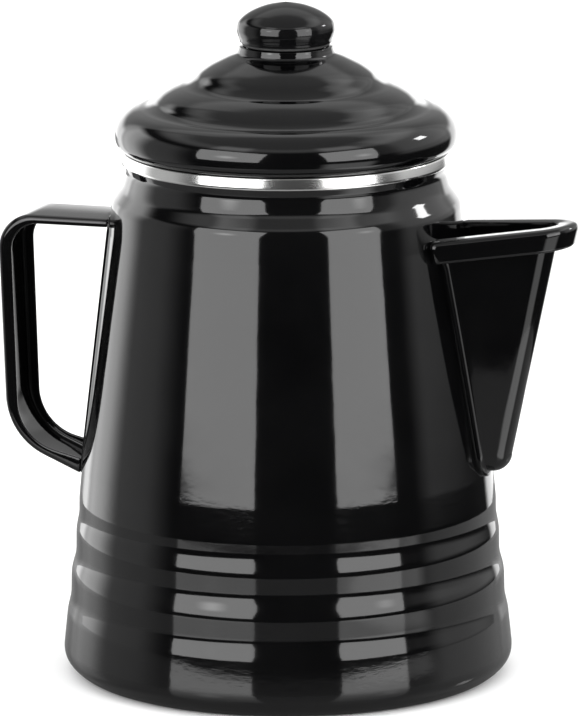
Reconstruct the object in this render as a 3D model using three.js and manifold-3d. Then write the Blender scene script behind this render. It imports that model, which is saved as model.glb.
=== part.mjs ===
// Enamelled steel coffee percolator: pot with strainer spout and strap handle, stepped lid with a
// hollow twist-off knob, and the lift-out pump with its coffee basket and spreader plate.
// Millimetres, +Z up. The origin is the centre of the flat base; the spout points along +X and the
// handle along -X, so the percolator is symmetrical about the plane Y = 0.
import * as THREE from "three";
import { mergeVertices } from "three/addons/utils/BufferGeometryUtils.js";
import { ConvexGeometry } from "three/addons/geometries/ConvexGeometry.js";
import Module from "manifold-3d";

// ---------------------------------------------------------------- driving dimensions
const SEGMENTS = 48; // round the pot and the lid
const SMALL_SEGMENTS = 32; // round the knob and the pump
const GAP = 0.3; // between pieces that touch
const SHEET = 1.1; // enamelled steel sheet
const STAINLESS = 0.9; // stainless sheet of the basket and the pump
const HOLE_SIDES = 6;

const POT = {
  seamHeight: 13, // where the drawn bottom pan is welded to the wall
  waistRadius: 74.25, // a short upright band above the steps, which then leans into the cone
  waistHeight: 62,
  coneFootRadius: 73.15,
  coneFootHeight: 74,
  coneTopRadius: 62.9,
  coneTopHeight: 158.5,
  neckRadius: 56.55,
  neckHeight: 180.6,
  lipRadius: 57.5,
  lipHeight: 187.3,
};
// Pressed steps near the base: radius below and above each, and the height of its middle.
const STEPS = [
  { middle: 24.5, below: 78.8, above: 77.4 },
  { middle: 39.5, below: 77.2, above: 75.5 },
  { middle: 54.1, below: 75.4, above: 74.3 },
];
const STEP_HEIGHT = 8;

const RIM = { outer: 58.4, inner: 55.0, foot: 184.0, top: 188.2, thickness: 0.6 };

const LID = {
  neckRadius: 16.6,
  neckTop: 225,
  holeRadius: 13.9,
  beadFootRadius: 58,
  beadFoot: 188.6,
  skirtRadius: 54.2,
  skirtFoot: 178.5,
  skirtTop: 199.4,
};

const KNOB = { foot: 226.6, top: 240.6, spigotRadius: 13.5, spigotFoot: 217.8, wall: 1.6 };
const LUG = { width: 7, foot: 219.6, height: 2.4, reach: 15.3 };

const SPOUT = {
  wallInset: 48, // how far inside the wall its flanks start before they are trimmed
  flankAngle: 16.4, // degrees between each flank and the spout's middle plane, seen from above
  low: { height: 83, noseCentre: 75.8, noseRadius: 6.8 },
  high: { height: 163, noseCentre: 91.6, noseRadius: 8 },
  flangeWidth: 2.6,
};
const SPOUT_RIM = {
  overhang: 7.1, // outwards from the outer face of the trough
  height: 7.4,
  rootTop: 162.2, // height of its upper face at the wall
  tipTop: 167,
  rounding: 2.2,
};
const STRAINER = { radius: 2.6, pitch: 8.4, lowest: 97, highest: 148 };

const HANDLE = {
  width: 26,
  rounding: 1.6,
};
// Side outlines of the handle's D: its outer face, and the free edge of the two side flanges.
const HANDLE_OUTER = {
  top: 161.6,
  reach: 103.8, // how far the grip stands out at its upper end
  upperRadius: 12.5,
  lowerReach: 101.8,
  lowerRadius: 24,
  lowerCentre: 96.4, // height of the lower bend's centre
  lowerSweep: 66, // degrees turned by the lower bend
};
const HANDLE_FLANGE_EDGE = {
  top: 158.8,
  reach: 98.6,
  upperRadius: 10,
  lowerReach: 97,
  lowerRadius: 18,
  lowerCentre: 94.2,
  lowerSweep: 76,
};
const BACK_STRIP = { foot: 68.6, top: 166.3 };

const TUBE = { radius: 6, bore: 5, foot: 17.5, top: 208 };
const FOOT = { radius: 37, foot: 1.8, sleeveTop: 28, notchWidth: 9, notchHeight: 3 };
const BASKET = { radius: 42, rimRadius: 45, foot: 122.2, top: 168, sleeveTop: 165 };
const STOP = { radius: 9.5, height: 2.6 };
const SPREADER = { radius: 45, height: 169.3, wallHeight: 3.4, collarTop: 177 };
// Rings of perforations in the basket and in the spreader plate: ring radius and number of holes.
const PERFORATION_RINGS = [
  { radius: 15, count: 6 },
  { radius: 24.5, count: 9 },
  { radius: 34, count: 12 },
];
const PERFORATION_RADIUS = 1.7;

// ---------------------------------------------------------------- materials
const metal = (color, roughness, metalness) =>
  new THREE.MeshStandardMaterial({ color, roughness, metalness });
const ENAMEL = metal(0x0b0b0c, 0.08, 0.0);
const POLISHED = metal(0xd9dadb, 0.18, 1.0);
const SATIN = metal(0xb9bbbd, 0.35, 1.0);
const KNOB_BLACK = metal(0x0a0a0a, 0.12, 0.0);
const SEAL_BLACK = metal(0x161616, 0.7, 0.0);

// ---------------------------------------------------------------- solid helpers
const wasm = await Module();
wasm.setup();

function solid(geometry) {
  const bare = geometry.index ? geometry.toNonIndexed() : geometry.clone();
  const onlyPosition = new THREE.BufferGeometry();
  onlyPosition.setAttribute("position", bare.getAttribute("position"));
  const merged = mergeVertices(onlyPosition, 1e-4);
  return new wasm.Manifold(
    new wasm.Mesh({
      numProp: 3,
      vertProperties: merged.attributes.position.array,
      triVerts: new Uint32Array(merged.index.array),
    }),
  );
}

function geometryOf(manifold) {
  const made = manifold.getMesh();
  const geometry = new THREE.BufferGeometry();
  geometry.setAttribute("position", new THREE.BufferAttribute(made.vertProperties, 3));
  geometry.setIndex(new THREE.BufferAttribute(made.triVerts, 1));
  geometry.computeVertexNormals();
  return geometry;
}

const percolator = new THREE.Group();
function place(name, shape, material) {
  const geometry = shape.isBufferGeometry ? shape : geometryOf(shape);
  const mesh = new THREE.Mesh(geometry, material);
  mesh.name = name;
  percolator.add(mesh);
}

// A body of revolution about Z from [radius, height] points, taken anticlockwise round the section.
function lathe(points, segments = SEGMENTS) {
  const profile = points.map(([radius, height]) => new THREE.Vector2(radius, height));
  const closed = profile[0].x > 0;
  if (closed) profile.push(profile[0].clone());
  return new THREE.LatheGeometry(profile, segments).rotateX(Math.PI / 2);
}

const turned = (points, segments) => solid(lathe(points, segments));

function ring(inner, outer, foot, top, segments = SMALL_SEGMENTS) {
  return lathe([[inner, foot], [outer, foot], [outer, top], [inner, top]], segments);
}

function box(x0, x1, y0, y1, z0, z1) {
  const geometry = new THREE.BoxGeometry(x1 - x0, y1 - y0, z1 - z0);
  geometry.translate((x0 + x1) / 2, (y0 + y1) / 2, (z0 + z1) / 2);
  return solid(geometry);
}

// An outline drawn in the XZ plane, extruded to the given width about Y = 0.
function slab(shape, width, rounding = 0) {
  const geometry = new THREE.ExtrudeGeometry(shape, {
    depth: width - 2 * rounding,
    curveSegments: 8,
    bevelEnabled: rounding > 0,
    bevelThickness: rounding,
    bevelSize: rounding,
    bevelOffset: -rounding,
    bevelSegments: 3,
  });
  geometry.translate(0, 0, -width / 2 + rounding);
  return solid(geometry.rotateX(Math.PI / 2));
}

const smooth = (points, count) =>
  new THREE.SplineCurve(points.map(([x, y]) => new THREE.Vector2(x, y)))
    .getPoints(count)
    .map((p) => [p.x, p.y]);

// The same outline moved sideways by a distance, to the left of the way it runs.
function offset(points, distance) {
  return points.map(([x, y], i) => {
    const [ax, ay] = points[Math.max(i - 1, 0)];
    const [bx, by] = points[Math.min(i + 1, points.length - 1)];
    const length = Math.hypot(bx - ax, by - ay);
    return [x - ((by - ay) / length) * distance, y + ((bx - ax) / length) * distance];
  });
}

function arc(cx, cy, radius, startDegrees, endDegrees, count) {
  return Array.from({ length: count + 1 }, (_, i) => {
    const angle = THREE.MathUtils.degToRad(
      startDegrees + ((endDegrees - startDegrees) * i) / count,
    );
    return [cx + radius * Math.cos(angle), cy + radius * Math.sin(angle)];
  });
}

// Round holes through a level sheet, on rings about the Z axis.
function perforate(sheet, z0, z1) {
  return PERFORATION_RINGS.reduce((plate, { radius, count }) => {
    for (let i = 0; i < count; i++) {
      const angle = (2 * Math.PI * (i + 0.5)) / count;
      const hole = lathe(
        [[0, z0], [PERFORATION_RADIUS, z0], [PERFORATION_RADIUS, z1], [0, z1]],
        HOLE_SIDES,
      );
      hole.translate(radius * Math.cos(angle), radius * Math.sin(angle), 0);
      plate = plate.subtract(solid(hole));
    }
    return plate;
  }, sheet);
}

// ---------------------------------------------------------------- pot wall
// Outer outline of the wall from the seam up to the lip.
function stepOutline({ middle, below, above }) {
  const shares = [-0.5, -0.22, 0, 0.22, 0.5];
  return shares.map((share) => {
    const blend = 0.5 - 0.5 * Math.sin(share * Math.PI);
    return [above + (below - above) * blend, middle + share * STEP_HEIGHT];
  });
}

const WALL_OUTLINE = [
  [79.6, POT.seamHeight + GAP / 2],
  ...STEPS.flatMap(stepOutline),
  [POT.waistRadius, POT.waistHeight],
  [POT.coneFootRadius, POT.coneFootHeight],
  [POT.coneTopRadius, POT.coneTopHeight],
  [62.0, 167.6],
  [61.6, 169.5],
  [60.7, 171.1],
  [58.9, 173.7],
  [58.1, 175.1],
  [57.6, 176.4],
  [56.8, 179.3],
  [POT.neckRadius, POT.neckHeight],
  [56.85, 181.8],
  [POT.lipRadius, 183.6],
  [POT.lipRadius, POT.lipHeight],
];

function radiusAt(height) {
  const above = WALL_OUTLINE.findIndex(([, z]) => z >= height);
  const [r1, z1] = WALL_OUTLINE[above];
  const [r0, z0] = WALL_OUTLINE[above - 1];
  return r0 + ((r1 - r0) * (height - z0)) / (z1 - z0);
}

// Solid of everything inside the wall's outer face grown by a distance, for trimming what joins it.
function wallCore(distance, foot = 30, top = 178) {
  const between = WALL_OUTLINE.filter(([, z]) => z > foot && z < top);
  const outline = [[radiusAt(foot), foot], ...between, [radiusAt(top), top]];
  return turned([[0, foot], ...outline.map(([r, z]) => [r + distance, z]), [0, top]]);
}

function strainerHoles() {
  const holes = [];
  for (let z = STRAINER.lowest; z <= STRAINER.highest; z += STRAINER.pitch) {
    const halfWidth = troughHalfWidth(radiusAt(z), z, SHEET) - STRAINER.radius - 1;
    const across = Math.floor((2 * halfWidth) / STRAINER.pitch);
    for (let i = 0; i <= across; i++) {
      const y = (i - across / 2) * STRAINER.pitch;
      const hole = new THREE.CylinderGeometry(STRAINER.radius, STRAINER.radius, 24, HOLE_SIDES);
      hole.rotateZ(Math.PI / 2).translate(radiusAt(z), y, z);
      holes.push(solid(hole));
    }
  }
  return holes;
}

function potWall() {
  const inside = [
    [POT.lipRadius - SHEET - GAP, POT.lipHeight],
    [POT.lipRadius - SHEET - GAP, 183.8],
    [POT.neckRadius - SHEET, POT.neckHeight],
    [57.0, 174.6],
    [59.5, 170.9],
    [60.9, 167.2],
    [POT.coneTopRadius - SHEET, POT.coneTopHeight],
    [POT.coneFootRadius - SHEET, POT.coneFootHeight],
    [POT.waistRadius - SHEET, POT.waistHeight],
    [74.0, 46],
    [75.9, 31],
    [78.1, POT.seamHeight + GAP / 2],
  ];
  const wall = turned([...WALL_OUTLINE, ...inside]);
  return strainerHoles().reduce((rest, hole) => rest.subtract(hole), wall);
}

// Outer outline of the bottom pan, from the flat it stands on round the foot and up to the seam.
const FOOT_OUTLINE = [
  [71, 0],
  [74.3, 0.6],
  [76.2, 1.7],
  [77.8, 3.1],
  [79.1, 4.8],
  [79.8, 6.6],
  [80, 8.6],
  [79.6, POT.seamHeight - GAP / 2],
];

function potBottom() {
  return lathe([
    [0, 0],
    ...FOOT_OUTLINE,
    [78.1, POT.seamHeight - GAP / 2],
    [78.4, 8.6],
    [77.3, 5.6],
    [75.6, 3.4],
    [72, 1.5],
    [0, 1.5],
  ]);
}

function rimBand() {
  const { outer, inner, foot, top, thickness } = RIM;
  return lathe([
    [outer - thickness, foot],
    [outer, foot],
    [outer, top - 1.1],
    [outer - 0.7, top],
    [inner + 0.8, top],
    [inner, top - 0.8],
    [inner, foot],
    [inner + thickness, foot],
    [inner + thickness, top - thickness],
    [outer - thickness, top - thickness],
  ]);
}

// ---------------------------------------------------------------- spout
// Nose of the V-shaped trough's level section at a height, drawn in by an inset.
function troughNose(height, inset) {
  const { low, high } = SPOUT;
  const share = (height - low.height) / (high.height - low.height);
  return {
    centre: low.noseCentre + (high.noseCentre - low.noseCentre) * share,
    radius: low.noseRadius + (high.noseRadius - low.noseRadius) * share - inset,
  };
}

const FLANK = THREE.MathUtils.degToRad(SPOUT.flankAngle);

// Half the trough's width at a distance x from the pot's axis; its flanks touch the nose's circle.
function troughHalfWidth(x, height, inset) {
  const nose = troughNose(height, inset);
  return nose.radius / Math.cos(FLANK) + (nose.centre - x) * Math.tan(FLANK);
}

function troughOutline(height, inset, rootX) {
  const nose = troughNose(height, inset);
  const halfWidth = troughHalfWidth(rootX, height, inset);
  const sweep = 90 - SPOUT.flankAngle;
  const round = arc(nose.centre, 0, nose.radius, -sweep, sweep, 8);
  return [[rootX, -halfWidth], ...round, [rootX, halfWidth]];
}

// Convex trough body between its rounded bottom and a level top.
function troughHull(inset, top, rootX) {
  const { height: low, noseCentre } = SPOUT.low;
  const at = (outline, z) => outline.map(([x, y]) => new THREE.Vector3(x, y, z));
  const outline = troughOutline(low, inset, rootX);
  const depth = troughNose(low, inset).radius;
  const points = [...at(outline, low), ...at(troughOutline(top, inset, rootX), top)];
  for (const tilt of [25, 50, 75]) {
    const angle = THREE.MathUtils.degToRad(tilt);
    const drawnIn = outline.map(([x, y]) => [
      x > noseCentre ? noseCentre + (x - noseCentre) * Math.cos(angle) : x,
      y * Math.cos(angle),
    ]);
    points.push(...at(drawnIn, low - depth * Math.sin(angle)));
  }
  return solid(new ConvexGeometry(points));
}

// A plan outline of the trough grown by a distance, extruded down from the rim's sloping top.
function rimSlab(growth, height, rounding, drop = 0) {
  const tip = SPOUT.high.noseCentre + SPOUT.high.noseRadius + SPOUT_RIM.overhang;
  const outline = troughOutline(SPOUT.high.height, -growth, SPOUT.wallInset);
  const shape = new THREE.Shape(outline.map(([x, y]) => new THREE.Vector2(x, y)));
  const geometry = new THREE.ExtrudeGeometry(shape, {
    depth: height - 2 * rounding,
    bevelEnabled: rounding > 0,
    bevelThickness: rounding,
    bevelSize: rounding,
    bevelOffset: -rounding,
    bevelSegments: 3,
  });
  const slope = (SPOUT_RIM.tipTop - SPOUT_RIM.rootTop) / (tip - POT.coneTopRadius);
  geometry.translate(-tip, 0, rounding - height - drop);
  geometry.rotateY(-Math.atan(slope));
  geometry.translate(tip, 0, SPOUT_RIM.tipTop);
  return solid(geometry);
}

// The pouring rim: sheet turned outwards and down, open below.
function spoutRim() {
  const { overhang, height, rounding } = SPOUT_RIM;
  const under = rimSlab(overhang - SHEET, height, 0, 2 * SHEET);
  return rimSlab(overhang, height, rounding).subtract(under);
}

function spout() {
  const above = 185;
  const cavity = troughHull(SHEET, above, SPOUT.wallInset - 4);
  const trough = troughHull(0, 162, SPOUT.wallInset);
  const flange = wallCore(GAP + SHEET)
    .subtract(wallCore(GAP, 25, 178.5))
    .intersect(troughHull(-SPOUT.flangeWidth, 158, SPOUT.wallInset));
  return trough.add(spoutRim()).add(flange).subtract(cavity).subtract(wallCore(GAP));
}

// ---------------------------------------------------------------- handle
// One side outline of the D, moved in by an inset and closed well inside the pot.
function handleOutline(side, inset = 0) {
  const shape = new THREE.Shape();
  const inside = -40;
  const rad = THREE.MathUtils.degToRad;
  const end = rad(180 + side.lowerSweep);
  const top = side.top - inset;
  const upperX = side.upperRadius - side.reach;
  const lowerX = side.lowerRadius - side.lowerReach;
  const lowerRadius = side.lowerRadius - inset;
  const upperRadius = side.upperRadius - inset;
  shape.moveTo(inside, top);
  shape.lineTo(upperX, top);
  shape.absarc(upperX, top - upperRadius, upperRadius, rad(90), rad(180), false);
  shape.absarc(lowerX, side.lowerCentre, lowerRadius, rad(180), end, false);
  const x = lowerX + lowerRadius * Math.cos(end);
  const z = side.lowerCentre + lowerRadius * Math.sin(end);
  shape.lineTo(inside, z - (inside - x) / Math.tan(end));
  return shape;
}

function handleStrap() {
  const { width, rounding } = HANDLE;
  return slab(handleOutline(HANDLE_OUTER), width, rounding)
    .subtract(slab(handleOutline(HANDLE_FLANGE_EDGE), width + 10))
    .subtract(slab(handleOutline(HANDLE_OUTER, SHEET), width - 2 * SHEET))
    .subtract(wallCore(2 * GAP + SHEET));
}

function handleBackStrip() {
  const half = HANDLE.width / 2;
  return wallCore(GAP + SHEET)
    .subtract(wallCore(GAP, 25, 178.5))
    .intersect(box(-90, -30, -half, half, BACK_STRIP.foot, BACK_STRIP.top));
}

// ---------------------------------------------------------------- lid and knob
const LID_OUTLINE = [
  [LID.neckRadius, LID.neckTop],
  [16.8, 223.8],
  [17.6, 222.3],
  [20.8, 220.9],
  [24, 219.4],
  [27.1, 217.8],
  [30.3, 215.6],
  [32.5, 213.2],
  [34.9, 211.5],
  [37.7, 210.6],
  [40.5, 209.5],
  [43.4, 207.9],
  [45.5, 206.2],
  [47.1, 204.6],
  [49.4, 203.4],
  [52.2, 202.7],
  [55, 201.5],
  [57.5, 199.7],
  [59.3, 197.4],
  [60.4, 194.3],
  [60.1, 191],
  [LID.beadFootRadius, LID.beadFoot],
];

function lidShell() {
  const outer = smooth(LID_OUTLINE, 20);
  const under = offset(smooth(LID_OUTLINE.slice(1), 12), -SHEET).reverse();
  const section = [
    ...under,
    [LID.holeRadius, LID.neckTop - SHEET],
    [LID.holeRadius, LID.neckTop],
    ...outer,
  ];
  // Two slots in the neck's lip let the knob's lugs through a quarter turn away from locked.
  const slot = box(
    -LUG.reach - 0.4,
    LUG.reach + 0.4,
    -LUG.width / 2 - 0.5,
    LUG.width / 2 + 0.5,
    LUG.foot - 1,
    LID.neckTop + 1,
  );
  const withinLip = turned([[0, 219], [15.2, 219], [15.2, 226], [0, 226]]);
  return turned(section.reverse()).subtract(slot.intersect(withinLip));
}

function lidSkirt() {
  const { skirtRadius, skirtFoot, skirtTop } = LID;
  return ring(skirtRadius - 1, skirtRadius, skirtFoot, skirtTop, SEGMENTS);
}

function knob() {
  const { spigotRadius, spigotFoot, foot, top, wall } = KNOB;
  const head = smooth(
    [
      [16.3, foot],
      [16.5, 227.8],
      [17.1, 229.5],
      [17.3, 231.3],
      [16.5, 234.1],
      [12.5, 237.2],
      [6.6, 239.5],
      [0, top],
    ],
    12,
  );
  const hollow = [
    [0, top - 2],
    [6, 237.1],
    [11, 234.9],
    [14.2, 231.8],
    [14.4, 229.2],
    [spigotRadius - wall, 226],
    [spigotRadius - wall, spigotFoot],
  ];
  const shell = turned(
    [[spigotRadius, spigotFoot], [spigotRadius, foot], ...head, ...hollow],
    SMALL_SEGMENTS,
  );
  const lugRing = turned(
    [
      [spigotRadius - 0.8, LUG.foot],
      [LUG.reach, LUG.foot],
      [LUG.reach, LUG.foot + LUG.height],
      [spigotRadius - 0.8, LUG.foot + LUG.height],
    ],
    SMALL_SEGMENTS,
  );
  const across = box(-LUG.width / 2, LUG.width / 2, -20, 20, LUG.foot - 1, LUG.foot + 4);
  return shell.add(lugRing.intersect(across));
}

// ---------------------------------------------------------------- pump, basket and spreader
function pumpFoot() {
  const sleeve = TUBE.radius + GAP;
  const bell = turned(
    [
      [FOOT.radius - 1, FOOT.foot],
      [FOOT.radius, FOOT.foot],
      [FOOT.radius - 0.8, 7],
      [23, 13.5],
      [sleeve + STAINLESS + 1.6, 18],
      [sleeve + STAINLESS, 20.5],
      [sleeve + STAINLESS, FOOT.sleeveTop],
      [sleeve, FOOT.sleeveTop],
      [sleeve, 17.6],
      [22.4, 12.5],
      [FOOT.radius - 1.8, 6.4],
    ],
    SMALL_SEGMENTS,
  );
  const half = FOOT.notchWidth / 2;
  const top = FOOT.foot + FOOT.notchHeight;
  return bell
    .subtract(box(-60, 60, -half, half, 0, top))
    .subtract(box(-half, half, -60, 60, 0, top));
}

function basketCup() {
  const hole = TUBE.radius + 0.4 + STAINLESS + GAP;
  const { radius, rimRadius, foot, top } = BASKET;
  const cup = turned([
    [hole, foot],
    [radius - 4, foot],
    [radius - 1.2, foot + 1.2],
    [radius, foot + 4],
    [radius + 0.6, top - 1.6],
    [rimRadius, top - 0.9],
    [rimRadius, top],
    [radius, top],
    [radius - STAINLESS + 0.5, top - 1.4],
    [radius - STAINLESS, foot + 4.4],
    [radius - 4.4, foot + STAINLESS],
    [hole, foot + STAINLESS],
  ]);
  return perforate(cup, foot - 1, foot + 2);
}

function spreaderPlate() {
  const { radius, height, wallHeight, collarTop } = SPREADER;
  const collar = TUBE.radius + 0.4;
  const plate = turned([
    [collar, height],
    [radius - 1.4, height],
    [radius, height + 1.2],
    [radius, height + wallHeight],
    [radius - STAINLESS, height + wallHeight],
    [radius - STAINLESS - 0.8, height + STAINLESS],
    [collar + STAINLESS, height + STAINLESS],
    [collar + STAINLESS, collarTop],
    [collar, collarTop],
  ]);
  return perforate(plate, height - 1, height + 2);
}

// ---------------------------------------------------------------- assembly
place("pot_wall", potWall(), ENAMEL);
place("pot_bottom", potBottom(), ENAMEL);
place("rim_band", rimBand(), POLISHED);
place("spout", spout(), ENAMEL);
place("handle_strap", handleStrap(), ENAMEL);
place("handle_back_strip", handleBackStrip(), ENAMEL);

place("lid_shell", lidShell(), ENAMEL);
place("lid_skirt", lidSkirt(), ENAMEL);
place("knob", knob(), KNOB_BLACK);
place("knob_seal", ring(14.1, 15.5, 225.3, 226.3), SEAL_BLACK);

place("pump_foot", pumpFoot(), SATIN);
place("riser_tube", ring(TUBE.bore, TUBE.radius, TUBE.foot, TUBE.top), POLISHED);
place(
  "basket_stop",
  ring(TUBE.radius + GAP, STOP.radius, BASKET.foot - GAP - STOP.height, BASKET.foot - GAP),
  POLISHED,
);
place("basket_cup", basketCup(), SATIN);
place(
  "basket_sleeve",
  ring(TUBE.radius + 0.4, TUBE.radius + 0.4 + STAINLESS, BASKET.foot, BASKET.sleeveTop),
  SATIN,
);
place("spreader_plate", spreaderPlate(), SATIN);

export default percolator;
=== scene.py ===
"""Looks of an enamelled steel coffee percolator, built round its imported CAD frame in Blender 4.5.

Blender works in metres. The shapes below are drawn in millimetres, like the CAD part: +Z up, the
spout along +X, the handle along -X, the origin at the centre of the flat base.
"""

import math

import bmesh
import bpy
from mathutils import Matrix, Vector


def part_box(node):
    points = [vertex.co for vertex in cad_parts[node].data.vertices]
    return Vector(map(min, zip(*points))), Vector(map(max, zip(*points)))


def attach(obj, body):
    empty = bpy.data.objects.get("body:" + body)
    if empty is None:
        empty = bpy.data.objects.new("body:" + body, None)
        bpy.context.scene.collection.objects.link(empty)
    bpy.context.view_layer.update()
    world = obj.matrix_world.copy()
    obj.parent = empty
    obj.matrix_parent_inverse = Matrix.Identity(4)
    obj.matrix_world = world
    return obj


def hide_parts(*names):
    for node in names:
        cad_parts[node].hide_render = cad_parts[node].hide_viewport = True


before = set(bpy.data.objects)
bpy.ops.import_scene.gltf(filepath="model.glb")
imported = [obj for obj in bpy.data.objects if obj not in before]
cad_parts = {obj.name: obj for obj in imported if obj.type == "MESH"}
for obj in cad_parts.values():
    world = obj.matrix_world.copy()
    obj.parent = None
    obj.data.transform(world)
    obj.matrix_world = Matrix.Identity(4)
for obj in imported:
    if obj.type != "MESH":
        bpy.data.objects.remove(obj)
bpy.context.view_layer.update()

MM = 0.001


def edges(node):
    """Lowest and highest corner of a CAD node, in millimetres."""
    low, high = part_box(node)
    return [v / MM for v in low], [v / MM for v in high]


# ---------------------------------------------------------------- driving sizes, from the frame
_, (POT_RADIUS, _, _) = edges("pot_bottom")
_, (_, _, LIP_TOP) = edges("pot_wall")
(_, _, RIM_FOOT), (RIM_RADIUS, _, RIM_TOP) = edges("rim_band")
_, (SPOUT_TIP, _, _) = edges("spout")
(STRAP_BACK, _, _), (_, STRAP_HALF, STRAP_TOP) = edges("handle_strap")
(_, _, STRIP_FOOT), _ = edges("handle_back_strip")
(_, _, LID_FOOT), (_, _, LID_NECK_TOP) = edges("lid_shell")
(_, _, SKIRT_FOOT), (SKIRT_RADIUS, _, SKIRT_TOP) = edges("lid_skirt")
(_, _, SPIGOT_FOOT), (_, _, KNOB_TOP) = edges("knob")
(_, _, SEAL_FOOT), (_, _, SEAL_TOP) = edges("knob_seal")
(_, _, TUBE_FOOT), (TUBE_RADIUS, _, TUBE_TOP) = edges("riser_tube")
(_, _, STOP_FOOT), (STOP_RADIUS, _, STOP_TOP) = edges("basket_stop")
(_, _, BELL_FOOT), (BELL_RADIUS, _, BELL_TOP) = edges("pump_foot")
(_, _, BASKET_FOOT), (BASKET_RADIUS, _, BASKET_TOP) = edges("basket_cup")
_, (SLEEVE_RADIUS, _, SLEEVE_TOP) = edges("basket_sleeve")
(_, _, SPREADER_FOOT), (SPREADER_RADIUS, _, SPREADER_TOP) = edges("spreader_plate")

SHEET = 1.1  # enamelled steel sheet
STAINLESS = 0.8  # stainless sheet inside the pot
SKIRT_SHEET = 0.9
AROUND = 224  # segments round the pot and the lid
AROUND_STEEL = 144  # round the bell, the basket and the spreader
AROUND_SMALL = 96


# ---------------------------------------------------------------- outlines
def arc(centre, radius, start, end, count):
    """Points on a circle between two angles in degrees."""
    points = []
    for i in range(count + 1):
        angle = math.radians(start + (end - start) * i / count)
        points.append((centre[0] + radius * math.cos(angle), centre[1] + radius * math.sin(angle)))
    return points


def spline(points, per_span=6):
    """A smooth curve through every point."""
    ends = [points[0], *points, points[-1]]
    curve = []
    for a, b, c, d in zip(ends, ends[1:], ends[2:], ends[3:]):
        for i in range(per_span):
            t = i / per_span
            curve.append(tuple(
                0.5 * (2 * q + (r - p) * t + (2 * p - 5 * q + 4 * r - s) * t ** 2
                       + (3 * q - p - 3 * r + s) * t ** 3)
                for p, q, r, s in zip(a, b, c, d)))
    return curve + [points[-1]]


def eased(start, corner, finish, count):
    """Points on the curve that turns a corner between two places on its sides."""
    shares = [i / count for i in range(count + 1)]
    return [start * (1 - t) ** 2 + corner * 2 * t * (1 - t) + finish * t ** 2 for t in shares]


def rounded(corners, count=6):
    """A line through (x, y, radius) corners, each one turned with its own radius."""
    points = []
    for i, (x, y, radius) in enumerate(corners):
        if radius == 0 or i in (0, len(corners) - 1):
            points.append((x, y))
            continue
        here = Vector((x, y))
        back = Vector(corners[i - 1][:2]) - here
        ahead = Vector(corners[i + 1][:2]) - here
        half = back.angle(ahead) / 2
        reach = min(radius / math.tan(half), 0.49 * back.length, 0.49 * ahead.length)
        a, b = here + back.normalized() * reach, here + ahead.normalized() * reach
        points += [tuple(point) for point in eased(a, here, b, count)]
    return points


def moved(points, distance):
    """The outline moved sideways, to the left of the way it runs."""
    result = []
    for i, (x, y) in enumerate(points):
        ax, ay = points[max(i - 1, 0)]
        bx, by = points[min(i + 1, len(points) - 1)]
        length = math.hypot(bx - ax, by - ay) or 1
        result.append((x - (by - ay) / length * distance, y + (bx - ax) / length * distance))
    return result


def round_edge(start, end):
    """The half circle that closes a sheet's edge, from one face to the other."""
    middle = ((start[0] + end[0]) / 2, (start[1] + end[1]) / 2)
    turn = math.degrees(math.atan2(start[1] - middle[1], start[0] - middle[0]))
    return arc(middle, math.dist(start, end) / 2, turn, turn + 180, 6)[1:-1]


def sheet(face, thickness, start_cap=True):
    """Closed section of sheet metal from its outer face; the metal lies to the left of the face.

    A face that starts on the axis has no edge there, so its start has no cap.
    """
    inner = moved(face, thickness)
    section = face + round_edge(face[-1], inner[-1]) + inner[::-1]
    return section + round_edge(inner[0], face[0]) if start_cap else section


# ---------------------------------------------------------------- meshes
def piece(name, points, faces, material, body, nodes):
    """A smooth-shaded mesh that rides on a body and stands for its CAD nodes."""
    mesh = bpy.data.meshes.new(name)
    mesh.from_pydata([tuple(c * MM for c in p) for p in points], [], faces)
    work = bmesh.new()
    work.from_mesh(mesh)
    bmesh.ops.remove_doubles(work, verts=work.verts, dist=0.002 * MM)
    bmesh.ops.dissolve_degenerate(work, edges=work.edges, dist=0.001 * MM)
    bmesh.ops.recalc_face_normals(work, faces=work.faces)
    work.to_mesh(mesh)
    work.free()
    mesh.polygons.foreach_set("use_smooth", [True] * len(mesh.polygons))
    made = bpy.data.objects.new(name, mesh)
    bpy.context.scene.collection.objects.link(made)
    made.data.materials.append(material)
    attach(made, body)
    if nodes:
        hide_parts(*nodes)
    return made


def revolve(section, around, closed=True):
    """Points and faces of a section turned about the Z axis."""
    points = []
    for i in range(around):
        angle = 2 * math.pi * i / around
        points += [(r * math.cos(angle), r * math.sin(angle), z) for r, z in section]
    count = len(section)
    faces = []
    for i in range(around):
        a, b = i * count, (i + 1) % around * count
        for k in range(count if closed else count - 1):
            n = (k + 1) % count
            faces.append((a + k, b + k, b + n, a + n))
    return points, faces


def turned(name, section, material, body, nodes, around=AROUND):
    closed = section[0][0] > 0.001 or section[-1][0] > 0.001
    points, faces = revolve(section, around, closed)
    return piece(name, points, faces, material, body, nodes)


def grid_faces(rows, columns):
    return [
        (r * columns + c, r * columns + c + 1, (r + 1) * columns + c + 1, (r + 1) * columns + c)
        for r in range(rows - 1) for c in range(columns - 1)]


def thicken(made, thickness, edge):
    """Gives a sheet drawn as its middle face its thickness, and rounds its free edges."""
    solid = made.modifiers.new("thickness", "SOLIDIFY")
    solid.thickness = thickness * MM
    solid.offset = 0
    solid.use_quality_normals = True
    bevel = made.modifiers.new("edges", "BEVEL")
    bevel.width = edge * MM
    bevel.segments = 3
    bevel.limit_method = "ANGLE"
    bevel.angle_limit = math.radians(50)
    apply_modifiers(made)


def apply_modifiers(made):
    graph = bpy.context.evaluated_depsgraph_get()
    mesh = bpy.data.meshes.new_from_object(made.evaluated_get(graph))
    old = made.data
    made.modifiers.clear()
    made.data = mesh
    bpy.data.meshes.remove(old)
    mesh.name = made.name


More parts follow.
